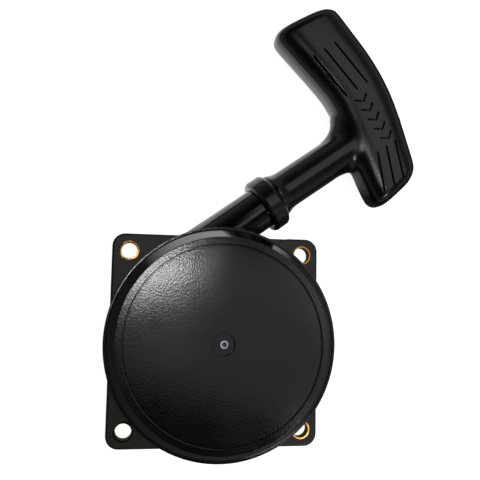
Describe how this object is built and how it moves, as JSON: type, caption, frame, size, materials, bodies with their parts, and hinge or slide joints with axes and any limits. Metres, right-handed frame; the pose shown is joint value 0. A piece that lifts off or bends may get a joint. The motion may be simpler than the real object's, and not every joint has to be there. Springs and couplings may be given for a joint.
{
  "type": "recoil starter",
  "caption": "Pull-rope recoil starter with a domed case on a square bolt flange, a tangential rope tube and a T-shaped grip.",
  "frame": {"origin": "centre of the four bolt bushes, in the mounting face of the flange", "axes": "+Z out of the domed case, away from the engine; X and Y along the sides of the square flange; the rope leaves in the +X +Y quarter, 36 degrees from +X"},
  "size_m": [0.1328, 0.1952, 0.033],
  "materials": {
    "case_plastic": "moulded black glass-filled nylon, fine-grained",
    "collar_plastic": "moulded black plastic, satin",
    "grip_plastic": "moulded black plastic, satin",
    "bush_brass": "turned and ribbed brass",
    "turned_steel": "turned, zinc plated",
    "pressed_steel": "pressed sheet, zinc plated",
    "spring_steel": "blued spring strip and wire",
    "reel_nylon": "moulded dark nylon",
    "bush_bronze": "sintered bronze",
    "rope_braid": "braided nylon rope"
  },
  "bodies": {
    "case": {"starter_case": "case_plastic", "flange_bushes": "bush_brass", "centre_post": "turned_steel", "retaining_washer": "pressed_steel", "retaining_screw": "turned_steel", "thrust_washer": "pressed_steel", "spring_cassette": "pressed_steel", "recoil_spring": "spring_steel", "rope_guide": "collar_plastic", "rope_eyelet": "turned_steel"},
    "reel": {"rope_reel": "reel_nylon", "reel_bush": "bush_bronze", "rope_winding": "rope_braid", "pawl_pins": "turned_steel"},
    "guide": {"pawl_guide": "pressed_steel", "friction_spring": "spring_steel"},
    "leading_pawl": {"pawl_leading": "pressed_steel"},
    "trailing_pawl": {"pawl_trailing": "pressed_steel"},
    "handle": {"grip": "grip_plastic", "grip_plug": "grip_plastic", "knot_washer": "pressed_steel", "rope_knot": "rope_braid", "rope_lead": "rope_braid"}
  },
  "joints": [
    {"name": "handle_pull", "type": "slide", "parent": "case", "child": "handle", "axis": [0.809, 0.5878, 0], "range_m": [0, 0.7], "stiffness_N_per_m": 14, "springref_m": -0.6, "deforming": ["rope_lead"]},
    {"name": "reel_spin", "type": "hinge", "parent": "case", "child": "reel", "pos_m": [0, 0, 0.014], "axis": [0, 0, 1], "range_deg": [-1345, 0], "deforming": ["recoil_spring"]},
    {"name": "guide_turn", "type": "hinge", "parent": "reel", "child": "guide", "pos_m": [0, 0, 0.0052], "axis": [0, 0, 1], "range_deg": [0, 30]},
    {"name": "leading_pawl_swing", "type": "hinge", "parent": "reel", "child": "leading_pawl", "pos_m": [0, 0.017, 0.0079], "axis": [0, 0, 1], "range_deg": [0, 38.1]},
    {"name": "trailing_pawl_swing", "type": "hinge", "parent": "reel", "child": "trailing_pawl", "pos_m": [0, -0.017, 0.0079], "axis": [0, 0, 1], "range_deg": [0, 38.1]}
  ],
  "couplings": [
    {"joint": "reel_spin", "follows": "handle_pull", "rad_per_m": -33.39},
    {"joint": "leading_pawl_swing", "follows": "guide_turn", "ratio": 1.2667},
    {"joint": "trailing_pawl_swing", "follows": "guide_turn", "ratio": 1.2667}
  ]
}
